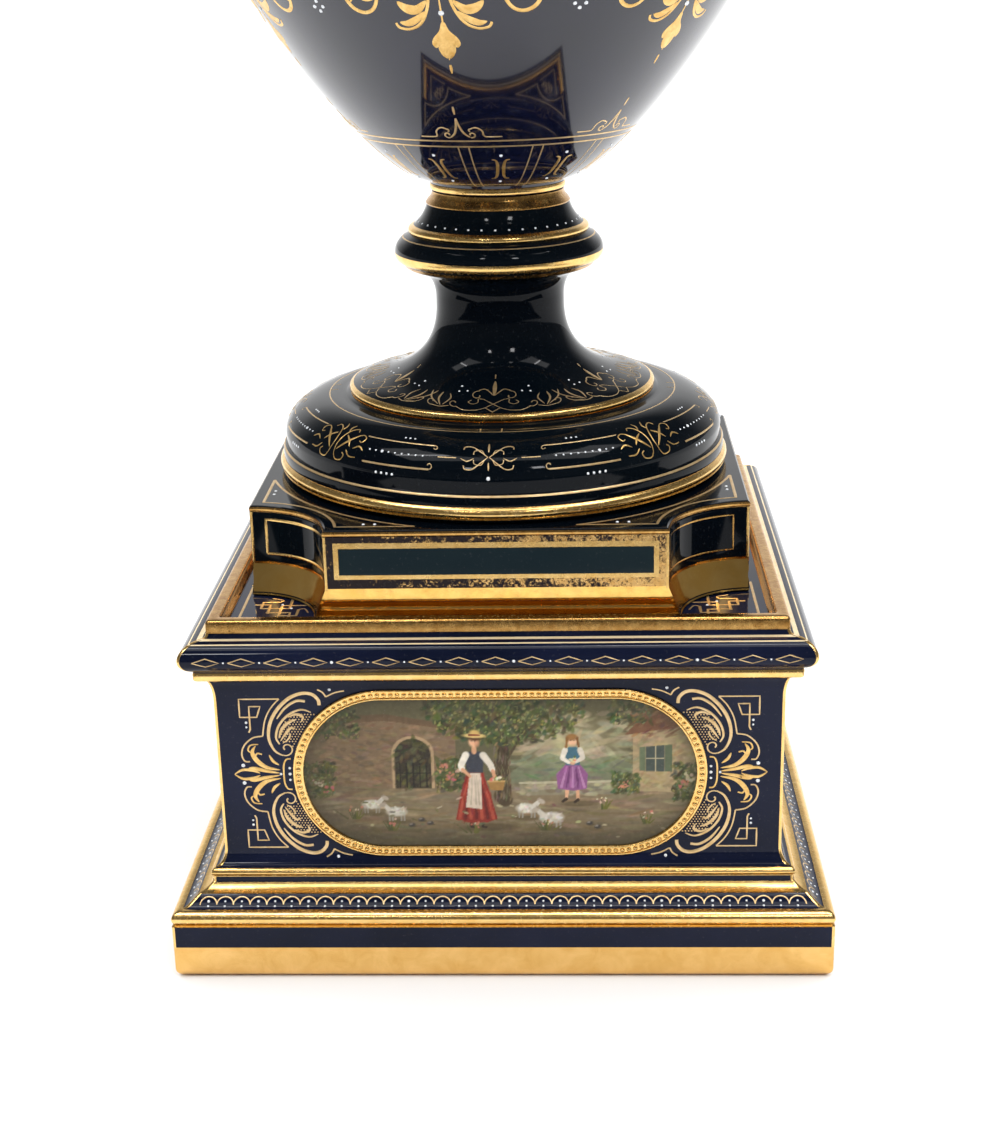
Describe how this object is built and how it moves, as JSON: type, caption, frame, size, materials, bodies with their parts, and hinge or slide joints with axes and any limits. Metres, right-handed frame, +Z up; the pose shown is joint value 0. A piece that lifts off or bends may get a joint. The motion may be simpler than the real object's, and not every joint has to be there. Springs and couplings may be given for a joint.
{
  "type": "mantel urn",
  "caption": "Glazed porcelain mantel urn with gilt ornament, standing on a square moulded plinth with an oval painted panel.",
  "frame": {"origin": "centre of the plinth's underside, on the surface that the urn stands on", "axes": "+Z up along the urn's axis; the painted panel faces -Y"},
  "size_m": [0.2002, 0.2002, 0.458],
  "materials": {
    "plinth_porcelain": "gloss",
    "foot_porcelain": "gloss",
    "body_porcelain": "gloss",
    "gilding": "polished",
    "white_enamel": "gloss",
    "painted_panel": "gloss"
  },
  "bodies": {
    "root": {"plinth": "plinth_porcelain", "urn_foot": "foot_porcelain", "urn_body": "body_porcelain"}
  },
  "joints": []
}
